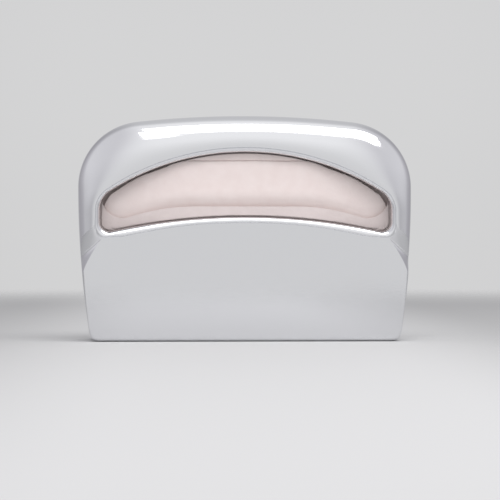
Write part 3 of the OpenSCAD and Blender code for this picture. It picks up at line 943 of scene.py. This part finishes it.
# Towards its rim the floor fades into the studio around it
reach = floor_tree.nodes.new("ShaderNodeVectorMath")
reach.operation = "LENGTH"
floor_tree.links.new(floor_point.outputs["Object"], reach.inputs[0])
floor_tree.links.new(add_fade(reach.outputs["Value"], FLOOR_FADE, (1, 0)), floor_shader.inputs["Alpha"])

# The room's light: even in front and behind, brighter upwards, dimmer and cooler to the sides
world = bpy.data.worlds.new("studio")
bpy.context.scene.world = world
world.use_nodes = True
tree = world.node_tree
background = tree.nodes["Background"]
direction = tree.nodes.new("ShaderNodeTexCoord")
parts = tree.nodes.new("ShaderNodeSeparateXYZ")
tree.links.new(direction.outputs["Generated"], parts.inputs["Vector"])


def add_ramp(value, stops):
    ramp = tree.nodes.new("ShaderNodeValToRGB")
    ramp.color_ramp.interpolation = "EASE"
    elements = ramp.color_ramp.elements
    while len(elements) < len(stops):
        elements.new(0.5)
    for element, (position, color) in zip(elements, stops):
        element.position = position
        element.color = (*color, 1)
    tree.links.new(value, ramp.inputs["Fac"])
    return ramp.outputs["Color"]


def add_product(a, b):
    product = tree.nodes.new("ShaderNodeMix")
    product.data_type = "RGBA"
    product.blend_type = "MULTIPLY"
    product.inputs["Factor"].default_value = 1
    tree.links.new(a, product.inputs["A"])
    tree.links.new(b, product.inputs["B"])
    return product.outputs["Result"]


def add_math(operation, a, b):
    node = tree.nodes.new("ShaderNodeMath")
    node.operation = operation
    for socket, value in zip(node.inputs, (a, b)):
        if isinstance(value, (int, float)):
            socket.default_value = value
        else:
            tree.links.new(value, socket)
    return node.outputs[0]


WHITE = (1, 1, 1)
sideways = add_math("ABSOLUTE", add_math("SUBTRACT", parts.outputs["X"], 0.04), 0)
across = add_ramp(sideways, [(0.08, (0.745, 0.745, 0.75)), (0.50, (0.53, 0.525, 0.545)),
                             (1.0, (0.57, 0.565, 0.585))])
upward = add_ramp(parts.outputs["Z"], [(0.0, WHITE), (0.5, (1.35, 1.35, 1.35))])
# Behind, to the sides and overhead the room is darker, which draws the chrome's edges
flank = add_math("MULTIPLY", sideways, add_math("ADD", parts.outputs["Y"], 0.35))
behind = add_ramp(flank, [(0.33, WHITE), (0.7, (0.86, 0.85, 0.87))])
beyond = add_ramp(parts.outputs["Y"], [(0.1, WHITE), (0.8, (0.87, 0.87, 0.87))])
over = add_ramp(add_math("MULTIPLY", parts.outputs["Y"], parts.outputs["Z"]),
                [(0.05, WHITE), (0.38, (0.70, 0.70, 0.71))])
shade = add_product(add_product(add_product(across, upward), behind), add_product(beyond, over))
tree.links.new(shade, background.inputs["Color"])


# Overhead boxes, forward of the object, whose reflections join in the bright band on the hood
BOX_Z = 2.6
BOX_GLOW = 2.75
BOX_TURN = 8


def add_softbox(name, place, size, turn):
    """A rectangular lamp that shines down; its place and size are in units of its height."""
    lamp = bpy.data.lights.new(name, "AREA")
    lamp.shape = "RECTANGLE"
    lamp.size, lamp.size_y = size[0] * BOX_Z, size[1] * BOX_Z
    # BOX_GLOW is how bright the lamp's face looks, where 1 is white
    lamp.energy = BOX_GLOW * math.pi * lamp.size * lamp.size_y
    obj = bpy.data.objects.new(name, lamp)
    obj.location = Vector(place) * BOX_Z
    obj.rotation_euler = (0, 0, math.radians(turn))
    bpy.context.scene.collection.objects.link(obj)


add_softbox("overhead_box", (0.31, -0.525, 1), (0.98, 0.75), BOX_TURN)
add_softbox("front_box", (-0.235, -0.85, 1), (0.13, 0.70), 0)
add_softbox("end_box", (0.835, -0.52, 1), (0.08, 0.36), BOX_TURN)

# The camera looks level from slightly left, at the place that the photograph has at its centre
VIEW_W = 0.6085
SENSOR_W = 36
CAMERA_D = 2.2
CAMERA_YAW = 2.2
AIM = Vector((0.0060, -0.05, -0.0268))
camera_data = bpy.data.cameras.new("camera")
camera_data.sensor_width = SENSOR_W
camera_data.lens = SENSOR_W * CAMERA_D / VIEW_W
camera_data.clip_end = 50
camera = bpy.data.objects.new("camera", camera_data)
camera.location = AIM + CAMERA_D * Vector((-sind(CAMERA_YAW), -cosd(CAMERA_YAW), 0))
camera.rotation_euler = (AIM - camera.location).to_track_quat("-Z", "Y").to_euler()
bpy.context.scene.collection.objects.link(camera)
bpy.context.scene.camera = camera
bpy.context.scene.view_settings.view_transform = "Standard"
